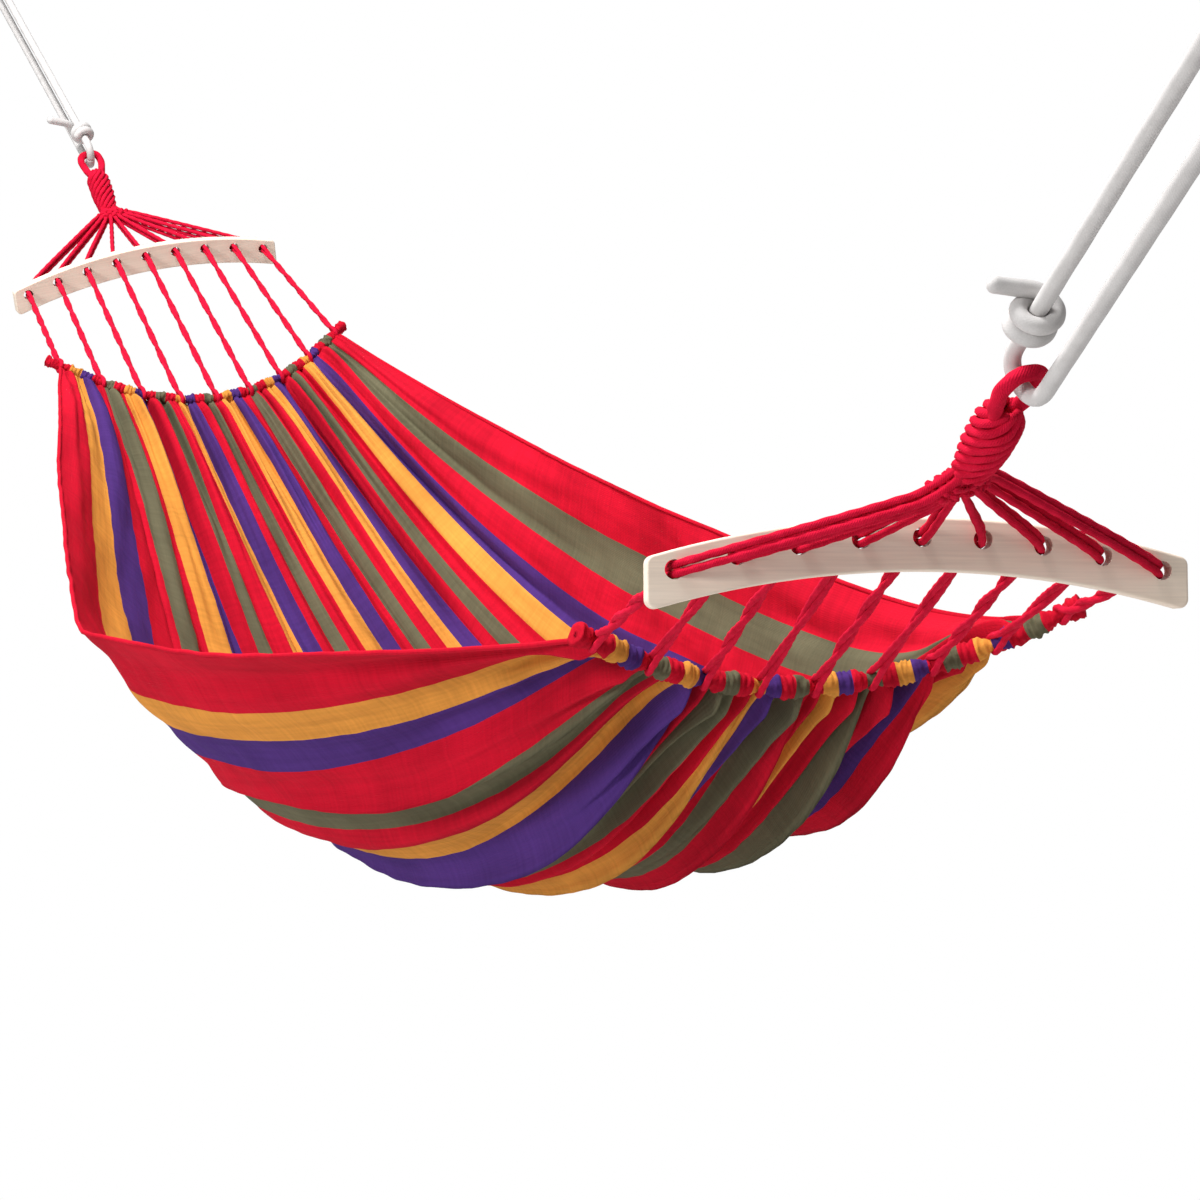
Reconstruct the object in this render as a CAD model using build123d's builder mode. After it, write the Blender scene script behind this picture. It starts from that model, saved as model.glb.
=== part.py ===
from build123d import *
from dataclasses import dataclass
from math import cos, exp, pi, radians, sin, sqrt, tan
import os

os.makedirs("parts", exist_ok=True)

# Sizes are in millimetres and angles in degrees. +X runs from the head end to the foot
# end, +Z is up, and the origin is the middle of the rope's turn over the head hook.

# Spreader bars
hole_pitch = 54.0
hole_count = 9
hole_diameter = 17.0
bar_end_length = 24.0
bar_width = 46.0
bar_thickness = 16.0
bar_rise = 28.0
bar_lean = 15.5
bar_top_margin = 17.0
bar_corner = 8.0
bar_edge = 2.5
bar_span = 2400.0
foot_drop = 183.0
foot_bar_turn = -17.0
foot_bar_tip = -11.2

# White hanging ropes
rope_diameter = 14.0
loop_radius = 22.0
rope_joint_gap = 0.4
tip_length = 7.0
tip_flat = 1.5
head_rope_length = 580.0
head_rope_slope = 35.7
foot_rope_length = 375.0
foot_rope_slope = 42.7
hitch_turns = 2
hitch_start = 40.0
hitch_gap = 0.6
tail_bend_radius = 45.0
tail_bend = 45.0
tail_length = 45.0

# Points where rope and clew meet, measured from the middle of each bar
head_link_out = 240.0
head_link_up = 200.0
foot_link_out = 185.0
foot_link_up = 178.0
foot_link_side = -8.0

# Red clews
eye_diameter = 14.0
eye_half_width = 17.5
eye_play = 0.8
eye_foot_length = 8.0
clew_neck_length = 36.0
bundle_diameter = 26.0
whipping_turns = 8
whipping_cord = 6.8
whipping_gap = 0.5
elbow_length = 8.0
fan_radius = 40.0
fan_root_width = 18.0
fan_height = 20.0
fan_margin = 7.0
fan_edge = 3.0
head_clew_slope = 62.0
foot_clew_slope = 43.3

# Clew cords, each doubled through its hole and round the hem rope
cord_diameter = 7.6
cord_gap = 0.6
seat_gap = 0.2
cord_stub = 12.0
hole_lead = 8.0

# Hems, measured from the middle of each bar
hem_rope_diameter = 7.0
hem_fit = 1.0
hem_diameter = 25.0
hem_notch = 12.5
hem_end_length = 12.0
hem_bend_radius = 60.0
hem_half_width = 238.0
hem_reach = 292.0
hem_reach_bow = 64.0
hem_drop = 123.0
hem_drop_bow = 78.0
head_hem_tip = -5.0
foot_hem_tip = -8.0

# Canvas
canvas_thickness = 2.0
canvas_seat = 11.4
lobe_depth = 28.0
lobe_reach = 0.1
left_rim_flare = 293.0
left_rim_sag = 123.0
left_rim_power = 1.25
right_rim_flare = 104.0
right_rim_sag = 138.0
right_rim_power = 2.7
belly_depth = 451.0
belly_power = 2.24
section_power = 3.2
sag_skew = -0.2
canvas_stations = [0.03, 0.065, 0.11, 0.17, 0.25, 0.34, 0.44, 0.56, 0.66, 0.75, 0.83, 0.89, 0.935, 0.97]

# Sizes that follow from the driving sizes
half_count = (hole_count - 1) / 2
hole_row = half_count * hole_pitch
bar_half = hole_row + bar_end_length
hole_offsets = [(index - half_count) * hole_pitch for index in range(hole_count)]
cord_spacing = cord_diameter + cord_gap
whipping_pitch = whipping_cord + whipping_gap
whipping_length = whipping_turns * whipping_pitch + whipping_cord
clew_length = clew_neck_length + whipping_length + elbow_length
lobe_count = hole_count - 1


@dataclass
class End:
    """One end of the hammock, in the model's frame; facing is +1 where it faces +X."""

    name: str
    facing: int
    bar: Location
    hem: Location
    link: Vector
    hook: Vector
    clew: Vector

    def rope_dir(self):
        """Direction of the taut rope, from the link up to the hook."""
        return (self.hook - self.link).normalized()

    def side(self):
        """Horizontal direction across the rope."""
        return self.rope_dir().cross(Vector(0, 0, 1)).normalized()

    def rope_plane(self):
        """Plane of the rope's loop: X runs up the rope, Y towards its upper strand."""
        return Plane(origin=self.link, x_dir=self.rope_dir(), z_dir=self.side())

    def bar_plane(self):
        """Plane of the bar's broad side: X runs along the bar, the normal leans outwards."""
        return Plane(self.bar * bar_face.location)

    def clew_point(self, length):
        """A point on the clew's middle line, a length down from the link."""
        return self.link - self.clew * length

    def hole(self, offset, depth=0.0, height=0.0):
        """A point on a hole's axis, depth out of the bar's face and height along it."""
        y = offset * self.facing
        return Vector(self.bar_plane().from_local_coords((y, rise_at(y) + height, depth)))

    def hem_point(self, across):
        """A point on the hem's line; across runs from -1 at the left to 1 at the right."""
        bow = 1 - across**2
        x = -(hem_reach + hem_reach_bow * bow)
        z = -(hem_drop + hem_drop_bow * bow)
        return placed(self.hem, (x, across * hem_half_width * self.facing, z))


def placed(location, point):
    """A point given in a local frame, in the model's frame."""
    return (location * Location(point)).position


def rise_at(y):
    """Height of the row of holes at a place along the bar."""
    return bar_rise * (1 - (y / hole_row) ** 2)


bar_face = Plane(origin=(0, 0, 0), x_dir=(0, 1, 0), z_dir=(cos(radians(bar_lean)), 0, sin(radians(bar_lean))))


def end_frame(x, z, facing, turn, tip):
    """Frame at the middle of a bar: local +X points away from the bed and +Z up."""
    turned = Location((x, 0, z)) * Location((0, 0, 0), (0, 0, turn)) * Location((0, 0, 0), (tip, 0, 0))
    return turned * Location((0, 0, 0), (0, 0, 0 if facing > 0 else 180))


def slope_vector(facing, slope):
    """A unit direction that points outwards and up at a slope."""
    return Vector(facing * cos(radians(slope)), 0, sin(radians(slope)))


def make_ends():
    """Both ends, from the driving sizes."""
    head_hook = Vector(0, 0, 0)
    head_link = head_hook - slope_vector(-1, head_rope_slope) * head_rope_length
    head_x = head_link.X + head_link_out
    head_z = head_link.Z - head_link_up
    foot_x = head_x + bar_span
    foot_z = head_z - foot_drop
    foot_link = Vector(foot_x + foot_link_out, foot_link_side, foot_z + foot_link_up)
    foot_hook = Vector(foot_link.X, 0, foot_link.Z) + slope_vector(1, foot_rope_slope) * foot_rope_length
    head = End(
        name="head",
        facing=-1,
        bar=end_frame(head_x, head_z, -1, 0, 0),
        hem=end_frame(head_x, head_z, -1, 0, head_hem_tip),
        link=head_link,
        hook=head_hook,
        clew=slope_vector(-1, head_clew_slope),
    )
    foot = End(
        name="foot",
        facing=1,
        bar=end_frame(foot_x, foot_z, 1, foot_bar_turn, foot_bar_tip),
        hem=end_frame(foot_x, foot_z, 1, foot_bar_turn, foot_hem_tip),
        link=foot_link,
        hook=foot_hook,
        clew=slope_vector(1, foot_clew_slope),
    )
    return head, foot


def open_radii(points, tight=(), reach=0.0):
    """The largest arc that each corner leaves room for; tight corners keep within a reach."""
    radii = []
    for index, (before, corner, after) in enumerate(zip(points, points[1:], points[2:])):
        turn = (corner - before).get_angle(after - corner)
        room = 0.45 * min((corner - before).length, (after - corner).length)
        if index in tight:
            room = min(room, reach)
        radii.append(room / tan(radians(turn) / 2))
    return radii


def tube(points, radii, diameter):
    """A round cord along straight runs joined by tangent arcs."""
    with BuildPart() as cord:
        with BuildLine() as route:
            FilletPolyline(*points, radius=radii)
        with BuildSketch(Plane(origin=route.line @ 0, z_dir=route.line % 0)):
            Circle(diameter / 2)
        sweep()
    return cord.part


def spreader_bar(end):
    """An arched plank with a row of holes for the clew cords."""
    face = end.bar_plane()
    top = rise_at(bar_half) + bar_top_margin
    bottom = top - bar_width
    with BuildPart() as bar:
        with BuildSketch(face) as outline:
            with BuildLine():
                ThreePointArc((-bar_half, top), (0, bar_rise + bar_top_margin), (bar_half, top))
                Line((bar_half, top), (bar_half, bottom))
                ThreePointArc((bar_half, bottom), (0, bar_rise + bar_top_margin - bar_width), (-bar_half, bottom))
                Line((-bar_half, bottom), (-bar_half, top))
            make_face()
            fillet(outline.vertices(), bar_corner)
        extrude(amount=bar_thickness / 2, both=True)
        broad_sides = bar.faces().sort_by(Axis(face.origin, face.z_dir))
        fillet(broad_sides[0].edges() + broad_sides[-1].edges(), bar_edge)
        with Locations(*[face * Location((y, rise_at(y), 0)) for y in hole_offsets]):
            Hole(hole_diameter / 2)
    bar.part.label = f"{end.name}_spreader_bar"
    return bar.part


def open_loop(end, start, bend, name):
    """A loop of rope in the rope's plane, from two rounded tips round a half turn."""
    away = 1 if bend > start else -1
    with BuildPart() as loop:
        with BuildLine(end.rope_plane()) as route:
            Line((start, loop_radius), (bend, loop_radius))
            ThreePointArc((bend, loop_radius), (bend + away * loop_radius, 0), (bend, -loop_radius))
            Line((bend, -loop_radius), (start, -loop_radius))
        with BuildSketch(Plane(origin=route.line @ 0, z_dir=route.line % 0)):
            Circle(rope_diameter / 2)
        sweep()
        fillet(loop.faces().filter_by(GeomType.PLANE).edges(), rope_diameter / 2 - tip_flat)
    loop.part.label = f"{end.name}_{name}"
    return loop.part


def hang_loop(end):
    """The half turn of rope that bears on the hook."""
    hook_at = (end.hook - end.link).length
    return open_loop(end, hook_at - tip_length, hook_at, "hang_loop")


def hang_rope(end):
    """The two taut strands and the turn of rope that passes through the clew's eye."""
    hook_at = (end.hook - end.link).length
    return open_loop(end, hook_at - tip_length - rope_joint_gap, loop_radius, "hang_rope")


def helix_point(seat, radius, pitch, angle):
    """A point of a helix that climbs a plane's normal, and the way it runs there."""
    point = Vector(seat.from_local_coords((radius * cos(angle), radius * sin(angle), pitch * angle / (2 * pi))))
    heading = seat.x_dir * (-radius * sin(angle)) + seat.y_dir * (radius * cos(angle)) + seat.z_dir * (pitch / (2 * pi))
    return point, heading.normalized()


def biarc(start, start_dir, finish, finish_dir):
    """Two arcs that join two points and run in the given directions there."""
    across = finish - start
    along = across.dot(start_dir + finish_dir)
    bend = 2 * (1 - start_dir.dot(finish_dir))
    reach = (sqrt(along * along + bend * across.dot(across)) - along) / bend
    middle = (start + finish + (start_dir - finish_dir) * reach) * 0.5
    first = TangentArc(start, middle, tangent=start_dir)
    TangentArc(middle, finish, tangent=first % 1)


def wind(seat, radius, pitch, turns):
    """The line of a winding, a quarter turn at a time; gives its last point and heading."""
    quarter = pi / 2
    for index in range(round(turns * 4)):
        start, start_dir = helix_point(seat, radius, pitch, index * quarter)
        finish, finish_dir = helix_point(seat, radius, pitch, (index + 1) * quarter)
        biarc(start, start_dir, finish, finish_dir)
    return finish, finish_dir


def rope_hitch(end):
    """The rope's end: turns round the upper strand, then a short free tail."""
    plane = end.rope_plane()
    seat = Plane(
        origin=plane.from_local_coords((hitch_start, loop_radius, 0)), x_dir=-plane.z_dir, z_dir=plane.x_dir
    )
    radius = rope_diameter + hitch_gap
    with BuildPart() as hitch:
        with BuildLine() as route:
            last, heading = wind(seat, radius, radius, hitch_turns)
            bend = radians(tail_bend)
            bend_end = last + (heading * sin(bend) - seat.z_dir * (1 - cos(bend))) * tail_bend_radius
            bow = TangentArc(last, bend_end, tangent=heading)
            Line(bend_end, bend_end + (bow % 1) * tail_length)
        with BuildSketch(Plane(origin=route.line @ 0, z_dir=route.line % 0)):
            Circle(rope_diameter / 2)
        sweep()
    hitch.part.label = f"{end.name}_rope_hitch"
    return hitch.part


def clew_eye(end):
    """The red eye: a bend of cord over the rope, its legs drawn in to the neck."""
    apex = end.link + end.rope_dir() * (rope_diameter / 2 + eye_play + eye_diameter / 2)
    neck = end.clew_point(clew_neck_length - seat_gap)
    wide = end.side() * eye_half_width
    close = end.side() * (eye_diameter + cord_gap) * 0.5
    foot_rise = end.clew * eye_foot_length
    knee = (apex + neck) * 0.5
    points = [
        neck - close,
        neck - close + foot_rise,
        knee - wide,
        apex - wide,
        apex + wide,
        knee + wide,
        neck + close + foot_rise,
        neck + close,
    ]
    radii = open_radii(points)
    radii[2] = radii[3] = 0.98 * eye_half_width
    eye = tube(points, radii, eye_diameter)
    eye.label = f"{end.name}_clew_eye"
    return eye


def fan_plane(end):
    """Plane of the clew's fan: Y runs out of it towards the middle of the bar."""
    pivot = end.clew_point(clew_length)
    towards = (end.hole(0) - pivot).normalized()
    return Plane(origin=pivot, x_dir=(0, 1, 0), z_dir=Vector(0, 1, 0).cross(towards))


def fan_point(angle, radius):
    """A place on the fan's plane, at an angle from its middle line."""
    return radius * sin(angle), radius * cos(angle)


def clew_bundle(end):
    """The gathered strands under the whipping and the flat fan that they spread into."""
    spread = (half_count * cord_spacing + fan_margin) / fan_radius
    root = fan_root_width / 2
    with BuildPart() as bundle:
        with BuildSketch(fan_plane(end)):
            with BuildLine():
                ThreePointArc(
                    fan_point(-spread, fan_radius), fan_point(0, fan_radius), fan_point(spread, fan_radius)
                )
                Polyline(fan_point(spread, fan_radius), (root, 0), (-root, 0), fan_point(-spread, fan_radius))
            make_face()
        extrude(amount=fan_height / 2, both=True)
        fillet(bundle.faces().filter_by(GeomType.PLANE).sort_by(Axis(end.link, fan_plane(end).z_dir))[0].edges(), fan_edge)
        fillet(bundle.faces().filter_by(GeomType.PLANE).sort_by(Axis(end.link, fan_plane(end).z_dir))[-1].edges(), fan_edge)
        with BuildSketch(Plane(origin=end.clew_point(clew_neck_length), z_dir=-end.clew)):
            Circle(bundle_diameter / 2)
        extrude(amount=clew_length - clew_neck_length)
        with Locations(end.clew_point(clew_length)):
            Sphere(bundle_diameter / 2)
    bundle.part.label = f"{end.name}_clew_bundle"
    return bundle.part


def clew_whipping(end):
    """One cord wound round the bundle, turn beside turn."""
    radius = bundle_diameter / 2 + seat_gap + whipping_cord / 2
    start = end.clew_point(clew_neck_length + whipping_cord / 2)
    with BuildPart() as whipping:
        with BuildLine() as route:
            wind(Plane(origin=start, x_dir=(0, 1, 0), z_dir=-end.clew), radius, whipping_pitch, whipping_turns)
        with BuildSketch(Plane(origin=route.line @ 0, z_dir=route.line % 0)):
            Circle(whipping_cord / 2)
        sweep()
    whipping.part.label = f"{end.name}_clew_whipping"
    return whipping.part


def clew_cord(end, number, offset):
    """A doubled cord: from the clew's mouth through its hole, round the hem rope and back."""
    mouth = fan_plane(end)
    pair = cord_spacing / 2
    upright = 1 if mouth.z_dir.Z > 0 else -1
    angle = offset / hole_pitch * cord_spacing / fan_radius * mouth.x_dir.Y
    across = offset / hole_row
    knot = end.hem_point(across)
    ahead = bar_thickness / 2 + hole_lead
    inner = end.hole(offset, -ahead)
    heading = (knot - inner).normalized()
    hem_dir = (end.hem_point(across + 0.01) - end.hem_point(across - 0.01)).normalized()
    up = hem_dir.cross(heading).normalized()
    up = up if up.Z > 0 else -up
    lean = radians(heading.get_angle(hem_dir))
    turn_radius = (hem_rope_diameter / sin(lean) + cord_diameter) / 2 + cord_gap

    def strand(rise):
        """The corners of one strand, from the clew's mouth to the hem rope."""
        return [
            Vector(mouth.from_local_coords((*fan_point(angle, fan_radius + seat_gap), rise * upright * pair))),
            Vector(mouth.from_local_coords((*fan_point(angle, fan_radius + cord_stub), rise * upright * pair))),
            end.hole(offset, ahead, rise * pair),
            end.hole(offset, -ahead, rise * pair),
            knot + (heading + up * rise) * turn_radius,
        ]

    points = strand(1) + strand(-1)[::-1]
    radii = open_radii(points, tight=(1, 2, 5, 6), reach=hole_lead)
    radii[3] = radii[4] = 0.98 * turn_radius
    cord = tube(points, radii, cord_diameter)
    cord.label = f"{end.name}_clew_cord_{number}"
    return cord


def hem_knots(end):
    """The places on the hem where the clew cords go round its rope, and its two ends."""
    knots = [end.hem_point(offset / hole_row) for offset in hole_offsets]
    tail = hem_notch + hem_end_length
    first = knots[0] + (knots[0] - knots[1]).normalized() * tail
    last = knots[-1] + (knots[-1] - knots[-2]).normalized() * tail
    return first, knots, last


def hem_rope(end):
    """The rope inside the hem."""
    first, knots, last = hem_knots(end)
    rope = tube([first, *knots[1:-1], last], [hem_bend_radius] * (hole_count - 2), hem_rope_diameter)
    rope.label = f"{end.name}_hem_rope"
    return rope


def hem_sleeve(end):
    """The gathered hem on its rope, open at each clew cord."""
    first, knots, last = hem_knots(end)
    spans = [(here, there, hem_notch) for here, there in zip(knots, knots[1:])]
    spans += [(knots[0], first, 0), (knots[-1], last, 0)]
    with BuildPart() as sleeve:
        for here, there, stop in spans:
            run = (there - here).normalized()
            with BuildSketch(Plane(origin=here + run * hem_notch, z_dir=run)):
                Circle(hem_diameter / 2)
                Circle(hem_rope_diameter / 2 + hem_fit, mode=Mode.SUBTRACT)
            extrude(amount=(there - here).length - hem_notch - stop)
    sleeve.part.label = f"{end.name}_hem_sleeve"
    return sleeve.part


def canvas_point(head, foot, u, v):
    """The canvas without its lobes; u runs from the left rim to the right, v head to foot."""
    across = 2 * u - 1
    edge = abs(across)
    place = v + sag_skew * v * (1 - v)
    belly = 1 - abs(2 * place - 1) ** belly_power
    if across < 0:
        rim = 1 - abs(2 * place - 1) ** left_rim_power
        flare, sag = -left_rim_flare, left_rim_sag
    else:
        rim = 1 - abs(2 * place - 1) ** right_rim_power
        flare, sag = right_rim_flare, right_rim_sag
    side = edge**section_power
    chord = head.hem_point(across) * (1 - v) + foot.hem_point(across) * v
    return chord + Vector(0, flare * rim * edge, -sag * rim * side - belly_depth * belly * (1 - side))


def canvas_normal(head, foot, u, v):
    """The canvas's outward direction, away from whoever lies in it."""
    step = 0.004
    low_u, high_u = max(u - step, 0), min(u + step, 1)
    along_u = canvas_point(head, foot, high_u, v) - canvas_point(head, foot, low_u, v)
    along_v = canvas_point(head, foot, u, v + step) - canvas_point(head, foot, u, v - step)
    return along_u.cross(along_v).normalized() * -1


def canvas_section(head, foot, v, depth):
    """Arcs across the canvas, one to a lobe, at a depth inside its outer face."""
    reach = min(v, 1 - v) / lobe_reach
    bulge = lobe_depth * reach * exp(1 - reach)
    nodes = []
    for index in range(2 * lobe_count + 1):
        u = index / (2 * lobe_count)
        out = bulge if index % 2 else 0.0
        nodes.append(canvas_point(head, foot, u, v) + canvas_normal(head, foot, u, v) * (out - depth))
    return [
        Edge.make_three_point_arc(nodes[index], nodes[index + 1], nodes[index + 2])
        for index in range(0, 2 * lobe_count, 2)
    ]


def canvas_bed(head, foot):
    """The cloth: a thin shell that hangs in lobes between the clew cords."""
    length = (foot.hem_point(0) - head.hem_point(0)).length
    edge_v = canvas_seat / length
    stations = [edge_v, *canvas_stations, 1 - edge_v]
    outer = [canvas_section(head, foot, v, 0) for v in stations]
    inner = [canvas_section(head, foot, v, canvas_thickness) for v in stations]
    faces = []
    for sections in (outer, inner):
        for here, there in zip(sections, sections[1:]):
            faces += [Face.make_surface_from_curves(a, b) for a, b in zip(here, there)]
    for index in (0, -1):
        faces += [Face.make_surface_from_curves(a, b) for a, b in zip(outer[index], inner[index])]
    for rim, end in ((0, 0), (-1, 1)):
        for station in range(len(stations) - 1):
            outside = Edge.make_line(outer[station][rim] @ end, outer[station + 1][rim] @ end)
            inside = Edge.make_line(inner[station][rim] @ end, inner[station + 1][rim] @ end)
            faces.append(Face.make_surface_from_curves(outside, inside))
    with BuildPart() as canvas:
        add(Solid(Shell(faces)))
    canvas.part.label = "canvas_bed"
    return canvas.part


def main():
    """Build every piece and write it out."""
    head, foot = make_ends()
    pieces = [canvas_bed(head, foot)]
    for end in (head, foot):
        pieces += [hang_loop(end), hang_rope(end), rope_hitch(end)]
        pieces += [clew_eye(end), clew_bundle(end), clew_whipping(end), spreader_bar(end)]
        pieces += [clew_cord(end, index + 1, offset) for index, offset in enumerate(hole_offsets)]
        pieces += [hem_rope(end), hem_sleeve(end)]
    for piece in pieces:
        export_step(piece, f"parts/{piece.label}.step")


main()
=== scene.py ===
"""A striped canvas hammock with arched spreader bars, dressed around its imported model.

Lengths are in metres and angles in degrees. The origin is the head's hook, +X runs
towards the foot and +Z is up.
"""

from __future__ import annotations

import logging
from dataclasses import dataclass
from enum import Enum
from math import cos, exp, pi, radians, sin, sqrt
from typing import Callable, Iterable, Sequence

import bmesh
import bpy
from mathutils import Matrix, Vector
from mathutils.noise import noise

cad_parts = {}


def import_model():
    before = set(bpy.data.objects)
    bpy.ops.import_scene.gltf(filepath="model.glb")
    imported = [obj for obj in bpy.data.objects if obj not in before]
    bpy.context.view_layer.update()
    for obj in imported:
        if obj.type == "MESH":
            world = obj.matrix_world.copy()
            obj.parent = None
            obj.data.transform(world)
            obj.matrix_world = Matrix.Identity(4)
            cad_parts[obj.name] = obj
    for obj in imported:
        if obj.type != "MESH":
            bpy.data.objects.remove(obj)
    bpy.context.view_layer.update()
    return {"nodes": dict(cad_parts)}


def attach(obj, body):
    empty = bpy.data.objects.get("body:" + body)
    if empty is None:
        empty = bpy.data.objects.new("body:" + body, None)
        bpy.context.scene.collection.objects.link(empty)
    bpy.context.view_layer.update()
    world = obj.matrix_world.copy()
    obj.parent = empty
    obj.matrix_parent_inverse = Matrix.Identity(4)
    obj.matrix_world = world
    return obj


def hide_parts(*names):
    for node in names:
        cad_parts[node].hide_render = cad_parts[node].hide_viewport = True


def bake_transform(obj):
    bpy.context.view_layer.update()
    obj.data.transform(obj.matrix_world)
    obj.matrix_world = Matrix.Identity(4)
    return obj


LOG = logging.getLogger("hammock")

BMesh = bmesh.types.BMesh
Material = bpy.types.Material
Node = bpy.types.Node
NodeTree = bpy.types.NodeTree
Object = bpy.types.Object
Socket = bpy.types.NodeSocket
Colour = tuple[float, float, float]
Place = tuple[float, float, float]
Range = tuple[float, float]

# Sizes shared with the solid model.
HOLE_COUNT = 9
HALF_COUNT = 4.0
HOLE_PITCH = 0.054
HOLE_ROW = HALF_COUNT * HOLE_PITCH
BAR_RISE = 0.028
BAR_LEAN = 15.5
BAR_HALF_THICKNESS = 0.008
ROPE_DIAMETER = 0.014
LOOP_RADIUS = 0.022
CORD_DIAMETER = 0.0076
CORD_SPACING = 0.0082
HEM_HALF_WIDTH = 0.238
HEM_BACK, HEM_BACK_BOW = 0.292, 0.064
HEM_DROP, HEM_DROP_BOW = 0.123, 0.078
HEM_NOTCH = 0.0125
HEM_END = 0.012
CLOTH_WIDTH = 1.395
CLOTH_LENGTH = 2.0

# Where the two ends hang.
HEAD_ROPE_LENGTH, HEAD_ROPE_SLOPE = 0.580, 35.7
FOOT_ROPE_LENGTH, FOOT_ROPE_SLOPE = 0.375, 42.7
HEAD_LINK_TO_BAR = Vector((0.240, 0.0, -0.200))
BAR_TO_BAR = Vector((2.400, 0.0, -0.183))
FOOT_BAR_TO_LINK = Vector((0.185, -0.008, 0.178))
HEAD_CLEW_SLOPE, FOOT_CLEW_SLOPE = 62.0, 43.3
HEAD_HEM_TIP = -5
FOOT_TURN, FOOT_BAR_TIP, FOOT_HEM_TIP = -17, -11.2, -8

YARN_MAP = "Cloth"
WELD_DISTANCE = 1e-6
WHITE = (1.0, 1.0, 1.0, 1.0)


class Stripe(Enum):
    """The canvas's yarn colours, linear."""

    RED = (0.52, 0.005, 0.022)
    YELLOW = (0.66, 0.27, 0.048)
    PURPLE = (0.068, 0.026, 0.165)
    OLIVE = (0.125, 0.115, 0.068)


STRIPE_ORDER = (Stripe.RED, Stripe.YELLOW, Stripe.PURPLE, Stripe.RED, Stripe.OLIVE)
STRIPE_COUNT = 31


# ---------------------------------------------------------------- node wiring


@dataclass(frozen=True)
class Wiring:
    """Adds and links nodes in one node tree."""

    tree: NodeTree

    def node(self, kind: str, **values: object) -> Node:
        """Add a node and set its properties.

        Args:
            kind: The node's type.
            values: Properties, or default values where the name starts with in_.

        Returns:
            The new node.
        """
        made = self.tree.nodes.new(kind)
        for key, value in values.items():
            if key.startswith("in_"):
                made.inputs[key[3:].replace("_", " ")].default_value = value
            else:
                setattr(made, key, value)
        return made

    def link(self, start: Socket, end: Socket) -> None:
        """Join two sockets."""
        self.tree.links.new(start, end)

    def math(self, operation: str, first: Socket | float, second: Socket | float = 0.0) -> Socket:
        """Add a Math node.

        Args:
            operation: The node's operation.
            first: Its first operand, a socket or a number.
            second: Its second operand.

        Returns:
            The node's output socket.
        """
        made = self.node("ShaderNodeMath", operation=operation)
        for place, value in enumerate((first, second)):
            if isinstance(value, Socket):
                self.link(value, made.inputs[place])
            else:
                made.inputs[place].default_value = value
        return made.outputs[0]

    def average(self, first: Socket, second: Socket) -> Socket:
        """The mean of two values."""
        halves = [self.math("MULTIPLY", value, 0.5) for value in (first, second)]
        return self.math("ADD", *halves)

    def axes(self, vector: Socket) -> Sequence[Socket]:
        """The separate parts of a vector."""
        parts = self.node("ShaderNodeSeparateXYZ")
        self.link(vector, parts.inputs[0])
        return parts.outputs

    def noise(self, vector: Socket, scale: float, detail: float) -> Socket:
        """Add a noise texture.

        Args:
            vector: Its coordinates.
            scale: Its scale.
            detail: Its octaves.

        Returns:
            The noise's factor.
        """
        made = self.node("ShaderNodeTexNoise", in_Scale=scale, in_Detail=detail)
        self.link(vector, made.inputs["Vector"])
        return made.outputs["Fac"]

    def streaks(self, vector: Socket, scales: Sequence[float], detail: float) -> Socket:
        """Add noise with its own scale along each axis.

        Args:
            vector: Its coordinates.
            scales: The scale along each axis.
            detail: Its octaves.

        Returns:
            The noise's factor.
        """
        stretch = self.node("ShaderNodeMapping", in_Scale=scales)
        self.link(vector, stretch.inputs["Vector"])
        return self.noise(stretch.outputs[0], 1.0, detail)

    def spread(self, mask: Socket, source: Range, target: Range) -> Socket:
        """Map a mask from one range to another.

        Args:
            mask: The value.
            source: The range that it comes in.
            target: The range that it leaves in.

        Returns:
            The mapped value.
        """
        made = self.node("ShaderNodeMapRange", in_From_Min=source[0], in_From_Max=source[1])
        made.inputs["To Min"].default_value, made.inputs["To Max"].default_value = target
        self.link(mask, made.inputs["Value"])
        return made.outputs[0]

    def mix(self, mask: Socket, dark: Colour, light: Colour) -> Socket:
        """Mix two colours by a mask.

        Args:
            mask: 0 for the dark colour, 1 for the light one.
            dark: The first colour.
            light: The second colour.

        Returns:
            The mixed colour.
        """
        factor, first, second, result = 0, 6, 7, 2
        made = self.node("ShaderNodeMix", data_type="RGBA")
        made.inputs[first].default_value = (*dark, 1.0)
        made.inputs[second].default_value = (*light, 1.0)
        self.link(mask, made.inputs[factor])
        return made.outputs[result]

    def shade(self, colour: Socket, mask: Socket, target: Range) -> Socket:
        """Darken and lighten a colour by a noise mask.

        Args:
            colour: The colour.
            mask: The noise.
            target: What the colour is multiplied by, at the lowest and at the highest.

        Returns:
            The varied colour.
        """
        scale = self.node("ShaderNodeVectorMath", operation="SCALE")
        self.link(colour, scale.inputs[0])
        self.link(self.spread(mask, (0.3, 0.7), target), scale.inputs["Scale"])
        return scale.outputs[0]

    def choose(self, mask: Socket, usual: Socket, seen: Socket, output: Node) -> None:
        """Send one of two shaders to an output node.

        Args:
            mask: 0 for the usual shader, 1 for the other.
            usual: The first shader.
            seen: The second shader.
            output: The output node.
        """
        made = self.node("ShaderNodeMixShader")
        for place, socket in enumerate((mask, usual, seen)):
            self.link(socket, made.inputs[place])
        self.link(made.outputs[0], output.inputs["Surface"])


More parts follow.
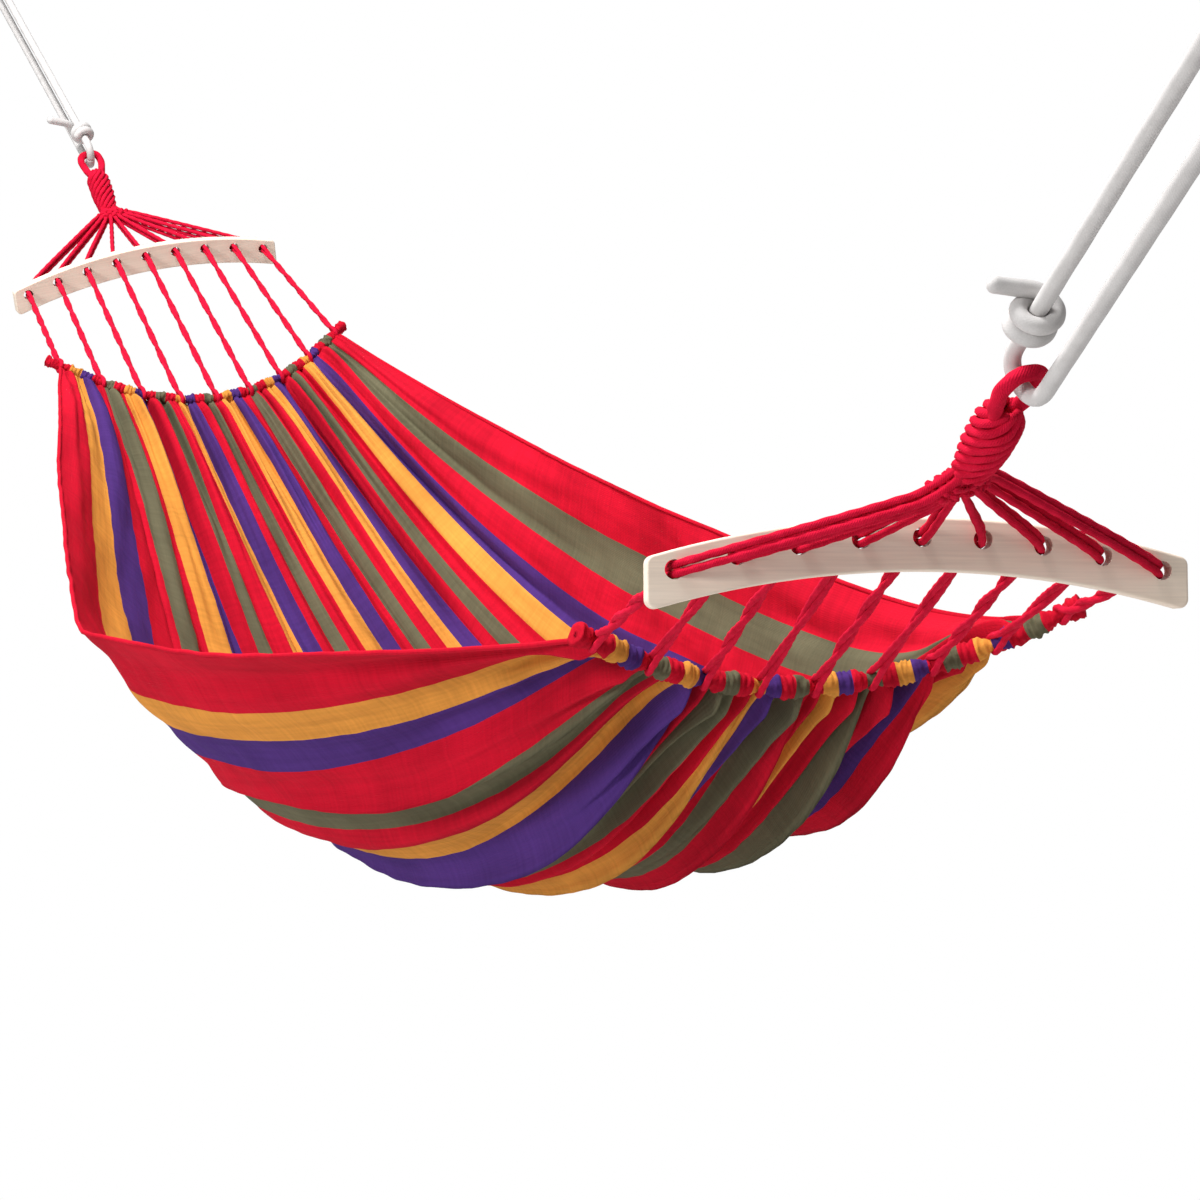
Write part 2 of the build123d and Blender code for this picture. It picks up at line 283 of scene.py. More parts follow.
def new_group(
    name: str, vector: str, values: dict[str, float], outputs: Sequence[str]
) -> tuple[NodeTree, Wiring, Node, Node]:
    """Start a shader node group that puts out masks or heights.

    Args:
        name: The group's name.
        vector: The label of its vector input.
        values: Its number inputs, with their default values.
        outputs: The labels of its outputs.

    Returns:
        The group, its wiring, its input node and its output node.
    """
    tree = bpy.data.node_groups.new(name, "ShaderNodeTree")
    tree.interface.new_socket(vector, in_out="INPUT", socket_type="NodeSocketVector")
    for label, value in values.items():
        socket = tree.interface.new_socket(label, in_out="INPUT", socket_type="NodeSocketFloat")
        socket.default_value = value
    for label in outputs:
        tree.interface.new_socket(label, in_out="OUTPUT", socket_type="NodeSocketFloat")
    source, sink = tree.nodes.new("NodeGroupInput"), tree.nodes.new("NodeGroupOutput")
    return tree, Wiring(tree), source, sink


def weave_group(threads: float) -> NodeTree:
    """A plain weave with slubs, on cloth coordinates.

    Args:
        threads: Default number of threads per metre.

    Returns:
        A group that puts out the yarns' height and a mask of uneven dye.
    """
    tree, w, source, sink = new_group(
        "Woven cotton", "Cloth", {"Threads per metre": threads}, ("Height", "Uneven dye")
    )
    cloth = source.outputs["Cloth"]
    across, along = w.axes(cloth)[:2]
    turn = w.math("MULTIPLY", source.outputs["Threads per metre"], pi)
    warp, weft = (w.math("SINE", w.math("MULTIPLY", axis, turn)) for axis in (across, along))
    yarns = w.math("ABSOLUTE", w.math("MULTIPLY", warp, weft))
    warp_slub = w.streaks(cloth, (160.0, 9.0, 1.0), 3.0)
    weft_slub = w.streaks(cloth, (12.0, 190.0, 1.0), 3.0)
    slubs = w.math("ADD", warp_slub, weft_slub)
    w.link(w.math("ADD", w.math("MULTIPLY", yarns, 0.5), slubs), sink.inputs["Height"])
    blotch = w.noise(cloth, 7.0, 4.0)
    w.link(w.average(blotch, w.average(warp_slub, weft_slub)), sink.inputs["Uneven dye"])
    return tree


def twist_group(yarns: float, slant: float) -> NodeTree:
    """Fine yarns that run slantwise round a cord, on its UV map.

    Args:
        yarns: Default number of yarns per metre.
        slant: Default slope of the yarns.

    Returns:
        A group that puts out the yarns' height and a mask of fuzz.
    """
    tree, w, source, sink = new_group(
        "Twisted yarn", "Along", {"Yarns per metre": yarns, "Slant": slant}, ("Height", "Fuzz")
    )
    place = source.outputs["Along"]
    around, along = w.axes(place)[:2]
    slanted = w.math("ADD", along, w.math("MULTIPLY", around, source.outputs["Slant"]))
    turn = w.math("MULTIPLY", source.outputs["Yarns per metre"], 2 * pi)
    wave = w.math("SINE", w.math("MULTIPLY", slanted, turn))
    fuzz = w.noise(place, 900.0, 3.0)
    w.link(w.math("ADD", w.math("MULTIPLY", wave, 0.5), fuzz), sink.inputs["Height"])
    w.link(w.average(fuzz, w.noise(place, 60.0, 3.0)), sink.inputs["Fuzz"])
    return tree


def grain_group() -> NodeTree:
    """Faint wood grain that runs along Y, on Object coordinates.

    Returns:
        A group that puts out a mask of grain lines and one of broad figure.
    """
    tree, w, source, sink = new_group("Pale grain", "Place", {}, ("Lines", "Figure"))
    place = source.outputs["Place"]
    w.link(w.streaks(place, (420.0, 12.0, 420.0), 4.0), sink.inputs["Lines"])
    w.link(w.streaks(place, (60.0, 5.0, 60.0), 2.0), sink.inputs["Figure"])
    return tree


# ---------------------------------------------------------------- finishes


@dataclass(frozen=True)
class Finish:
    """What every finish has: a name, a gloss and a relief."""

    name: str
    specular: float
    relief: float
    relief_depth: float

    def start(self) -> tuple[Material, Wiring, Node]:
        """Start the material.

        Returns:
            The material, its wiring and its Principled BSDF.
        """
        made = bpy.data.materials.new(self.name)
        made.use_nodes = True
        shader = made.node_tree.nodes["Principled BSDF"]
        shader.inputs["Specular IOR Level"].default_value = self.specular
        return made, Wiring(made.node_tree), shader

    def dress(self, w: Wiring, shader: Node, colour: Socket, height: Socket) -> None:
        """Send a colour and a relief to the shader.

        Args:
            w: The material's wiring.
            shader: Its Principled BSDF.
            colour: The base colour.
            height: The relief's height.
        """
        bump = w.node("ShaderNodeBump", in_Strength=self.relief, in_Distance=self.relief_depth)
        w.link(height, bump.inputs["Height"])
        w.link(bump.outputs["Normal"], shader.inputs["Normal"])
        w.link(colour, shader.inputs["Base Color"])


@dataclass(frozen=True)
class CanvasFinish(Finish):
    """Woven stripes by the cloth's own UV map; U runs across the cloth."""

    roughness: float
    dye: Range
    threads: float

    def stripes(self, w: Wiring, across: Socket) -> Socket:
        """The stripes' colours.

        Args:
            w: The material's wiring.
            across: The place across the cloth.

        Returns:
            The colour of the stripe at that place.
        """
        count = len(STRIPE_ORDER)
        stripe = w.math("MULTIPLY", across, STRIPE_COUNT / CLOTH_WIDTH)
        ramp = w.node("ShaderNodeValToRGB")
        ramp.color_ramp.interpolation = "CONSTANT"
        elements = ramp.color_ramp.elements
        while len(elements) < count:
            elements.new(0.5)
        for place, colour in enumerate(STRIPE_ORDER):
            elements[place].position = place / count
            elements[place].color = (*colour.value, 1.0)
        w.link(w.math("FRACT", w.math("DIVIDE", stripe, count)), ramp.inputs[0])
        return ramp.outputs[0]

    def build(self) -> Material:
        """Build the material."""
        made, w, shader = self.start()
        shader.inputs["Roughness"].default_value = self.roughness
        cloth = w.node("ShaderNodeUVMap", uv_map=YARN_MAP).outputs[0]
        group = weave_group(self.threads)
        weave = w.node("ShaderNodeGroup", node_tree=group, in_Threads_per_metre=self.threads)
        w.link(cloth, weave.inputs["Cloth"])
        stripes = self.stripes(w, w.axes(cloth)[0])
        colour = w.shade(stripes, weave.outputs["Uneven dye"], self.dye)
        self.dress(w, shader, colour, weave.outputs["Height"])
        return made


@dataclass(frozen=True)
class YarnFinish(Finish):
    """Soft twisted yarn by the cord's UV map."""

    dark: Colour
    light: Colour
    roughness: float
    yarns: float = 420.0
    slant: float = 0.8

    def build(self, group: NodeTree) -> Material:
        """Build the material.

        Args:
            group: The shared group of twisted yarns.

        Returns:
            The material.
        """
        made, w, shader = self.start()
        shader.inputs["Roughness"].default_value = self.roughness
        twist = w.node(
            "ShaderNodeGroup", node_tree=group, in_Yarns_per_metre=self.yarns, in_Slant=self.slant
        )
        w.link(w.node("ShaderNodeUVMap", uv_map=YARN_MAP).outputs[0], twist.inputs["Along"])
        fuzz = w.spread(twist.outputs["Fuzz"], (0.35, 0.65), (0.0, 1.0))
        self.dress(w, shader, w.mix(fuzz, self.dark, self.light), twist.outputs["Height"])
        return made


@dataclass(frozen=True)
class WoodFinish(Finish):
    """Bare pale wood, sanded smooth, with a faint grain along the bar."""

    turn: Matrix
    dark: Colour = (0.84, 0.69, 0.55)
    light: Colour = (0.91, 0.78, 0.66)
    lines: Range = (0.93, 1.05)
    roughness: Range = (0.42, 0.62)

    def build(self, group: NodeTree) -> Material:
        """Build the material.

        Args:
            group: The shared group of wood grain.

        Returns:
            The material.
        """
        made, w, shader = self.start()
        straight = w.node("ShaderNodeMapping", in_Rotation=self.turn.inverted().to_euler())
        w.link(w.node("ShaderNodeTexCoord").outputs["Object"], straight.inputs["Vector"])
        grain = w.node("ShaderNodeGroup", node_tree=group)
        w.link(straight.outputs[0], grain.inputs["Place"])
        lines = grain.outputs["Lines"]
        figure = w.mix(grain.outputs["Figure"], self.dark, self.light)
        w.link(w.spread(lines, (0.0, 1.0), self.roughness), shader.inputs["Roughness"])
        self.dress(w, shader, w.shade(figure, lines, self.lines), lines)
        return made


CANVAS = CanvasFinish("Striped canvas", 0.08, 0.55, 0.0009, 0.9, dye=(0.66, 1.30), threads=700.0)
RED_YARN = YarnFinish(
    "Crimson cotton cord", 0.08, 0.6, 0.0005, (0.45, 0.003, 0.022), (0.74, 0.010, 0.048), 0.9
)
WHITE_YARN = YarnFinish(
    "White cotton rope", 0.08, 0.15, 0.0005, (0.54, 0.52, 0.51), (0.64, 0.62, 0.61), 0.8
)


@dataclass(frozen=True)
class Finishes:
    """Every material of the hammock."""

    canvas: Material
    red_cord: Material
    white_rope: Material
    woods: dict[str, Material]


def make_finishes(ends: Iterable[End]) -> Finishes:
    """Build every material once.

    Args:
        ends: The two ends, whose bars' turns set the grain's direction.

    Returns:
        The materials.
    """
    twist, grain = twist_group(RED_YARN.yarns, RED_YARN.slant), grain_group()
    woods = {
        end.name: WoodFinish(f"Pale wood {end.name}", 0.3, 0.05, 0.0004, end.bar_turn).build(grain)
        for end in ends
    }
    return Finishes(CANVAS.build(), RED_YARN.build(twist), WHITE_YARN.build(twist), woods)


# ---------------------------------------------------------------- mesh helpers


def finish_piece(name: str, mesh: BMesh, material: Material, body: str) -> Object:
    """Turn a bmesh into a smooth object that rides on a body.

    Args:
        name: The piece's name.
        mesh: Its bmesh, which is freed.
        material: Its finish.
        body: The body that it moves with, or an empty string.

    Returns:
        The new object.
    """
    data = bpy.data.meshes.new(name)
    mesh.to_mesh(data)
    mesh.free()
    for face in data.polygons:
        face.use_smooth = True
    data.materials.append(material)
    made = bpy.data.objects.new(name, data)
    bpy.context.scene.collection.objects.link(made)
    if body:
        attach(made, body)
    LOG.info("%s: %d faces", name, len(data.polygons))
    return made


def smooth(value: float) -> float:
    """Ease from 0 to 1."""
    value = min(1.0, max(0.0, value))
    return value * value * (3 - 2 * value)


def square_to(direction: Vector, axis: Vector) -> Vector:
    """The part of a direction that is square to an axis, as a unit vector."""
    return (direction - axis * direction.dot(axis)).normalized()


def nurbs_line(points: Iterable[Vector], resolution: int) -> list[Vector]:
    """The smooth line of a route, read from its NURBS spline.

    Args:
        points: The route's points, used as control points.
        resolution: Points per span.

    Returns:
        The points along the spline.
    """
    points = list(points)
    curve = bpy.data.curves.new("route", "CURVE")
    curve.dimensions = "3D"
    curve.resolution_u = resolution
    spline = curve.splines.new("NURBS")
    spline.points.add(len(points) - 1)
    for target, point in zip(spline.points, points):
        target.co = (*point, 1.0)
    spline.order_u = 3
    spline.use_endpoint_u = True
    holder = bpy.data.objects.new("route", curve)
    mesh = bpy.data.meshes.new_from_object(holder)
    line = [vertex.co.copy() for vertex in mesh.vertices]
    bpy.data.objects.remove(holder)
    bpy.data.curves.remove(curve)
    bpy.data.meshes.remove(mesh)
    return line


def even_line(line: Sequence[Vector], step: float) -> list[Vector]:
    """The same line with its points evenly spaced.

    Args:
        line: Points of a polyline.
        step: Rough distance between points.

    Returns:
        Evenly spaced points with the same ends.
    """
    lengths = [0.0]
    for here, there in zip(line, line[1:]):
        lengths.append(lengths[-1] + (there - here).length)
    count = max(2, round(lengths[-1] / step))
    result, index = [], 0
    for place in range(count + 1):
        target = lengths[-1] * place / count
        while index < len(lengths) - 2 and lengths[index + 1] < target:
            index += 1
        span = lengths[index + 1] - lengths[index] or 1.0
        share = min(1.0, (target - lengths[index]) / span)
        result.append(line[index].lerp(line[index + 1], share))
    return result


def grid(columns: int, rows: int) -> tuple[BMesh, dict[bmesh.types.BMVert, Range]]:
    """A flat grid.

    Args:
        columns: Faces across.
        rows: Faces along.

    Returns:
        The grid, and each vertex's place across and along it, from 0 to 1.
    """
    mesh = bmesh.new()
    bmesh.ops.create_grid(mesh, x_segments=columns, y_segments=rows, size=0.5)
    return mesh, {vertex: (vertex.co.x + 0.5, vertex.co.y + 0.5) for vertex in mesh.verts}


def lay_out(mesh: BMesh, keys: dict, place: Callable[[float, float], Range]) -> None:
    """Write a grid's UV map.

    Args:
        mesh: The grid.
        keys: Each vertex's two numbers.
        place: Turns those numbers into UV coordinates in metres.
    """
    layer = mesh.loops.layers.uv.new(YARN_MAP)
    for face in mesh.faces:
        for loop in face.loops:
            loop[layer].uv = place(*keys[loop.vert])


def closed(mesh: BMesh) -> BMesh:
    """Weld a rolled grid along its seam and cap its ends.

    Args:
        mesh: The rolled grid.

    Returns:
        The same mesh, closed.
    """
    bmesh.ops.remove_doubles(mesh, verts=mesh.verts, dist=WELD_DISTANCE)
    open_edges = [edge for edge in mesh.edges if edge.is_boundary]
    bmesh.ops.holes_fill(mesh, edges=open_edges, sides=0)
    bmesh.ops.recalc_face_normals(mesh, faces=mesh.faces)
    return mesh


def joined(parts: Iterable[BMesh]) -> BMesh:
    """Several meshes in one.

    Args:
        parts: The meshes, which are freed.

    Returns:
        The mesh with every part's faces and UV map.
    """
    whole = bmesh.new()
    for part in parts:
        data = bpy.data.meshes.new("part")
        part.to_mesh(data)
        part.free()
        whole.from_mesh(data)
        bpy.data.meshes.remove(data)
    return whole


@dataclass(frozen=True)
class Lay:
    """A cord's thickness and its turning strands; taper is the end's width against the rest."""

    radius: float
    around: int
    strands: int = 3
    groove: float = 0.14
    pitch: float = 0.018
    taper: float = 1.0


ROPE = Lay(ROPE_DIAMETER / 2, around=16, strands=4, groove=0.03, pitch=0.05)
HITCH_ROPE = Lay(ROPE_DIAMETER / 2, around=16, strands=4, groove=0.03, pitch=0.045, taper=0.2)
EYE_CORD = Lay(0.0069, around=15, pitch=0.026)
WINDING_CORD = Lay(0.0042, around=9, taper=0.5)
ROW_CORD = Lay(0.0040, around=9, taper=0.5)
CLEW_CORD = Lay(CORD_DIAMETER / 2, around=9, groove=0.15, pitch=0.02)
RIM_ROLL = Lay(0.0030, around=8, strands=1, groove=0.0, pitch=1.0)


@dataclass
class Tube:
    """A cord swept along a line, with strands that turn about it."""

    line: list[Vector]
    lay: Lay

    def frames(self) -> list[tuple[Vector, Vector, Vector, float]]:
        """Parallel frames along the line.

        Returns:
            For each point its place, two directions across and the length so far.
        """
        last = len(self.line) - 1
        tangents = [
            (self.line[min(index + 1, last)] - self.line[max(index - 1, 0)]).normalized()
            for index in range(last + 1)
        ]
        across = tangents[0].orthogonal().normalized()
        result, run = [], 0.0
        for index, (place, tangent) in enumerate(zip(self.line, tangents)):
            across = square_to(across, tangent)
            if index:
                run += (place - self.line[index - 1]).length
            result.append((place, across, tangent.cross(across), run))
        return result

    def radius_at(self, angle: float, run: float, total: float) -> float:
        """The cord's radius at a place.

        Args:
            angle: The angle round the cord, in radians.
            run: The length so far.
            total: The whole length.

        Returns:
            The radius, with its grooves and its rounded ends.
        """
        lay = self.lay
        wave = cos(lay.strands * angle - 2 * pi * run / lay.pitch)
        radius = lay.radius * (1 - lay.groove * (0.5 - 0.5 * wave))
        near_end = min(run, total - run)
        if near_end < lay.radius:
            dome = sqrt(1 - (1 - near_end / lay.radius) ** 2)
            radius *= lay.taper + (1 - lay.taper) * dome
        return radius

    def build(self) -> BMesh:
        """Roll a grid into the tube.

        Returns:
            The closed tube, with a UV map in metres.
        """
        around, frames = self.lay.around, self.frames()
        rows, total = len(frames) - 1, frames[-1][3]
        mesh, places = grid(around, rows)
        keys = {
            vertex: (round(across * around), round(along * rows))
            for vertex, (across, along) in places.items()
        }
        girth = 2 * pi * self.lay.radius
        lay_out(mesh, keys, lambda column, row: (girth * column / around, frames[row][3]))
        for vertex, (column, row) in keys.items():
            place, across, up, run = frames[row]
            angle = 2 * pi * (column % around) / around
            spoke = across * cos(angle) + up * sin(angle)
            vertex.co = place + spoke * self.radius_at(angle, run, total)
        return closed(mesh)


# ---------------------------------------------------------------- the two ends


def slope(facing: int, angle: float) -> Vector:
    """A unit direction that points outwards and up at a slope."""
    return Vector((facing * cos(radians(angle)), 0.0, sin(radians(angle))))


def turned(turn: float, tip: float, facing: int) -> Matrix:
    """The turn of a bar's own frame.

    Args:
        turn: Its turn about Z.
        tip: Its tip about X, before the turn.
        facing: +1 where the end faces +X, -1 where it faces the other way.

    Returns:
        The rotation.
    """
    flip = Matrix.Rotation(0.0 if facing > 0 else pi, 3, "Z")
    return Matrix.Rotation(radians(turn), 3, "Z") @ Matrix.Rotation(radians(tip), 3, "X") @ flip


@dataclass(frozen=True)
class End:
    """One end of the hammock; facing is +1 where it faces +X."""

    name: str
    facing: int
    bar_at: Vector
    bar_turn: Matrix
    hem_turn: Matrix
    link: Vector
    hook: Vector
    clew: Vector

    @property
    def rope(self) -> Vector:
        """Direction of the taut rope, from the link to the hook."""
        return (self.hook - self.link).normalized()

    @property
    def side(self) -> Vector:
        """Horizontal direction across the rope."""
        return self.rope.cross(Vector((0, 0, 1))).normalized()

    @property
    def up(self) -> Vector:
        """Direction from the lower strand to the upper one."""
        return self.side.cross(self.rope).normalized()

    @property
    def bar_up(self) -> Vector:
        """Direction up the bar's leaning face."""
        lean = radians(BAR_LEAN)
        return self.bar_turn @ Vector((-sin(lean), 0, cos(lean)))

    def hole(self, offset: float, depth: float = 0.0) -> Vector:
        """A point on a hole's axis.

        Args:
            offset: The hole's place along the bar, from its middle.
            depth: How far out of the bar's face the point is.

        Returns:
            The point.
        """
        lean = radians(BAR_LEAN)
        y = offset * self.facing
        rise = BAR_RISE * (1 - (y / HOLE_ROW) ** 2)
        x, z = cos(lean) * depth - sin(lean) * rise, sin(lean) * depth + cos(lean) * rise
        return self.bar_at + self.bar_turn @ Vector((x, y, z))

    def hem(self, across: float) -> Vector:
        """A point on the hem's line, from -1 at the left to 1 at the right."""
        bow = 1 - across * across
        x, z = -(HEM_BACK + HEM_BACK_BOW * bow), -(HEM_DROP + HEM_DROP_BOW * bow)
        local = Vector((x, across * HEM_HALF_WIDTH * self.facing, z))
        return self.bar_at + self.hem_turn @ local

    def clew_point(self, length: float) -> Vector:
        """A point on the clew's middle line, a length down from the link."""
        return self.link - self.clew * length


def make_ends() -> tuple[End, End]:
    """Both ends, from the model's driving sizes.

    Returns:
        The head's end and the foot's.
    """
    head_link = -slope(-1, HEAD_ROPE_SLOPE) * HEAD_ROPE_LENGTH
    head_bar = head_link + HEAD_LINK_TO_BAR
    foot_bar = head_bar + BAR_TO_BAR
    foot_link = foot_bar + FOOT_BAR_TO_LINK
    foot_rope = slope(1, FOOT_ROPE_SLOPE) * FOOT_ROPE_LENGTH
    head = End(
        "head", -1, head_bar, turned(0, 0, -1), turned(0, HEAD_HEM_TIP, -1),
        head_link, Vector((0, 0, 0)), slope(-1, HEAD_CLEW_SLOPE),
    )
    foot = End(
        "foot", 1, foot_bar,
        turned(FOOT_TURN, FOOT_BAR_TIP, 1), turned(FOOT_TURN, FOOT_HEM_TIP, 1),
        foot_link, Vector((foot_link.x, 0.0, foot_link.z)) + foot_rope, slope(1, FOOT_CLEW_SLOPE),
    )
    return head, foot


# ---------------------------------------------------------------- ropes and clews


@dataclass
class HangingRope:
    """The white rope of one end: a taut loop through the clew's eye, and its hitch."""

    end: End
    finishes: Finishes
    step: float = 0.003
    hitch_step: float = 0.0012
    hitch_at: float = 0.037
    hitch_turns: int = 2
    hitch_pitch: float = 0.0145
    hitch_radius: float = 0.014872
    tail: tuple[Range, ...] = ((0.016, 0.006), (0.022, 0.022), (0.032, 0.044))

    def plane_point(self, along: float, rise: float, out: float = 0.0) -> Vector:
        """A point by its place along, above and beside the rope, from the link."""
        end = self.end
        return end.link + end.rope * along + end.up * rise + end.side * out

    def loop(self) -> Object:
        """The loop from the eye round the hook and back, as one cord.

        Returns:
            The rope.
        """
        end = self.end
        reach = (end.hook - end.link).length
        r = LOOP_RADIUS
        upper = [(0, 0), (0, r), (2 * r, r), (reach - r, r), (reach + r, r)]
        route = upper + [(along, -rise) for along, rise in reversed(upper)]
        line = even_line(nurbs_line([self.plane_point(*place) for place in route], 16), self.step)
        tube = Tube(line, ROPE)
        made = finish_piece(
            f"{end.name}_white_rope", tube.build(), self.finishes.white_rope, ""
        )
        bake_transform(made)
        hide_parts(f"{end.name}_hang_loop", f"{end.name}_hang_rope")
        length = sum((there - here).length for here, there in zip(line, line[1:]))
        hitch = self.hitch()
        tuple(end.link)
        return made

    def hitch(self) -> Object:
        """The rope's knotted end: turns round the upper strand and a short tail.

        Returns:
            The hitch's object.
        """
        end, r = self.end, self.hitch_radius
        route = []
        for step in range(8 * self.hitch_turns + 1):
            angle = step * pi / 4
            along = self.hitch_at + self.hitch_pitch * step / 8
            rise = LOOP_RADIUS + r * sin(angle)
            route.append(self.plane_point(along, rise, -r * cos(angle)))
        last = route[-1]
        route += [last + end.up * up + end.side * end.facing * out for up, out in self.tail]
        tube = Tube(even_line(nurbs_line(route, 10), self.hitch_step), HITCH_ROPE)
        made = finish_piece(
            f"{end.name}_hitch", tube.build(), self.finishes.white_rope, "ropes"
        )
        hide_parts(f"{end.name}_rope_hitch")
        return made


@dataclass
class Clew:
    """The red clew of one end: eye, whipping and the doubled cords to the hem."""

    end: End
    finishes: Finishes
    neck: float = 0.036
    whipping: float = 0.0652
    fan_gap: float = 0.008
    fan_radius: float = 0.040
    eye_gap: float = 0.0078
    eye_half_width: float = 0.0175
    leg_half_gap: float = 0.0073
    tuck: float = 0.01
    windings: int = 9
    winding_turns: float = 0.85
    winding_steps: int = 34
    row_reaches: tuple[float, ...] = (0.020, 0.028, 0.036)
    row_sway: float = 0.0015
    row_rise: float = 0.0100
    hole_reach: float = 0.008
    knot_gap: float = 0.012
    knot_loop: float = 0.0085

    def fan_axes(self) -> tuple[Vector, Vector, Vector]:
        """Where the cords spread out.

        Returns:
            The fan's pivot, its outward direction and its upright.
        """
        pivot = self.end.clew_point(self.neck + self.whipping + self.fan_gap)
        out = (self.end.hole(0) - pivot).normalized()
        upright = square_to(Vector((0, 1, 0)), out).cross(out)
        return pivot, out, upright if upright.z >= 0 else -upright

    def red_piece(self, name: str, mesh: BMesh) -> Object:
        """Finish a piece of red cord that belongs to this end.

        Args:
            name: Its name after the end's.
            mesh: Its bmesh.

        Returns:
            The new object.
        """
        return finish_piece(
            f"{self.end.name}_{name}", mesh, self.finishes.red_cord, "bed"
        )

    def eye(self) -> Object:
        """The bend of cord over the white rope, with its legs down to the whipping.

        Returns:
            The eye's object.
        """
        end = self.end
        apex = end.link + end.rope * (ROPE_DIAMETER / 2 + self.eye_gap)
        neck = end.clew_point(self.neck + self.tuck)
        knee = (apex + neck) * 0.5
        wide, close = end.side * self.eye_half_width, end.side * self.leg_half_gap
        leg = [(neck, close), (neck + end.clew * self.tuck, close), (knee, wide), (apex, wide)]
        route = [place - out for place, out in leg]
        route += [place + out for place, out in reversed(leg)]
        tube = Tube(even_line(nurbs_line(route, 14), 0.0025), EYE_CORD)
        made = self.red_piece("eye_cord", tube.build())
        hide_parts(f"{end.name}_clew_eye")
        return made

    def neck_tubes(self) -> list[Tube]:
        """The slanting turns of cord round the gathered strands."""
        end = self.end
        axis = -end.clew
        side = square_to(Vector((0, 1, 0)), axis)
        up = axis.cross(side)
        top = self.neck - self.tuck
        bottom = self.neck + self.whipping + self.tuck
        tubes = []
        for start in range(self.windings):
            line = []
            for step in range(self.winding_steps + 1):
                part = step / self.winding_steps
                angle = 2 * pi * (start / self.windings + self.winding_turns * part)
                swell, pinch = smooth(part / 0.24), smooth((part - 0.55) / 0.45)
                radius = 0.0086 + 0.0086 * swell - 0.0042 * pinch
                spot = end.clew_point(top + (bottom - top) * part)
                line.append(spot + (side * cos(angle) + up * sin(angle)) * radius)
            tubes.append(Tube(line, WINDING_CORD))
        return tubes

    def row_tubes(self) -> list[Tube]:
        """The rows of cord woven through the fan below the neck."""
        pivot, out, upright = self.fan_axes()
        across = upright.cross(out).normalized()
        steps = 4 * HOLE_COUNT
        tubes = []
        for row, reach in enumerate(self.row_reaches):
            line = []
            for step in range(steps + 1):
                place = (step / steps * 2 - 1) * HALF_COUNT
                angle = place * CORD_SPACING / self.fan_radius
                wave = cos(pi * (place + row))
                spoke = across * sin(angle) + out * cos(angle)
                spot = pivot + spoke * (reach + self.row_sway * wave)
                line.append(spot + upright * self.row_rise * wave)
            tubes.append(Tube(line, ROW_CORD))
        return tubes

    def wound_body(self) -> Object:
        """Thick cord wound round the gathered strands, and the woven rows.

        Returns:
            The wound cord's object.
        """
        tubes = self.neck_tubes() + self.row_tubes()
        made = self.red_piece("wound_cord", joined(tube.build() for tube in tubes))
        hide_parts(f"{self.end.name}_clew_whipping")
        return made

    def middle_line(self, offset: float) -> list[Vector]:
        """The middle of a doubled cord, from the clew through its hole.

        Args:
            offset: The hole's place along the bar, from its middle.

        Returns:
            Four points in the fan and two at the hole.
        """
        end = self.end
        pivot, out, _ = self.fan_axes()
        across = square_to(Vector((0, 1, 0)), out)
        angle = offset / HOLE_PITCH * CORD_SPACING / self.fan_radius
        ray = across * sin(angle) + out * cos(angle)
        ahead = BAR_HALF_THICKNESS + self.hole_reach
        return [
            end.clew_point(self.neck + self.whipping - 0.012) + across * offset * 0.04,
            pivot + ray * self.fan_radius * 0.35,
            pivot + ray * self.fan_radius,
            pivot + ray * (self.fan_radius + 0.012),
            end.hole(offset, ahead),
            end.hole(offset, -ahead),
        ]

    def cord_route(self, number: int) -> list[Vector]:
        """The route of one doubled cord: down to the hem, round its knot and back.

        Args:
            number: The cord's number, from 1 at the left.

        Returns:
            The route's points.
        """
        end, upright = self.end, self.fan_axes()[2]
        offset = (number - 1 - HALF_COUNT) * HOLE_PITCH
        middle = self.middle_line(offset)
        hole, across = middle[-1], offset / HOLE_ROW
        knot = end.hem(across)
        heading = (knot - hole).normalized()
        along = (end.hem(across + 0.01) - end.hem(across - 0.01)).normalized()
        rise = along.cross(heading).normalized()
        rise = rise if rise.z > 0 else -rise
        half, loop = CORD_SPACING / 2, self.knot_loop
        turns, tightness = (3, 0.5) if end.facing < 0 else (1 + number % 2, 0.72)
        steps = turns * 12
        spread = [upright * half * 0.55] + [upright * half] * 3 + [end.bar_up * half] * 2
        for step in range(2, steps):
            part = step / steps
            angle = 2 * pi * turns * part
            middle.append(hole.lerp(knot - heading * self.knot_gap, part))
            spread.append((rise * cos(angle) + along * sin(angle)) * half * tightness)
        middle += [knot - heading * 0.006, knot + heading * loop]
        spread += [rise * loop, rise * loop * 0.9]
        there = [place + out for place, out in zip(middle, spread)]
        back = [place - out for place, out in zip(middle, spread)]
        return there + back[::-1]

    def cords(self) -> None:
        """Every doubled cord, its strands lying together and turned about each other."""
        end = self.end
        for number in range(1, HOLE_COUNT + 1):
            line = even_line(nurbs_line(self.cord_route(number), 10), 0.0035)
            made = self.red_piece(f"cord_{number}", Tube(line, CLEW_CORD).build())
            names = [f"{end.name}_clew_cord_{number}"]
            if number == 5:
                names.append(f"{end.name}_clew_bundle")
            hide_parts(*names)

    def build(self) -> None:
        """Build every piece of the clew."""
        self.eye()
        self.wound_body()
        self.cords()


# ---------------------------------------------------------------- the canvas


@dataclass(frozen=True)
class Ripple:
    """Noise on the cloth with its own scale each way."""

    depth: float
    across: float
    along: float
    seed: float
    skew: float = 0.0

    def at(self, u: float, v: float) -> float:
        """The ripple's height at a place on the cloth."""
        spot = Vector((u * self.across + v * self.skew, v * self.along, self.seed))
        return self.depth * noise(spot)


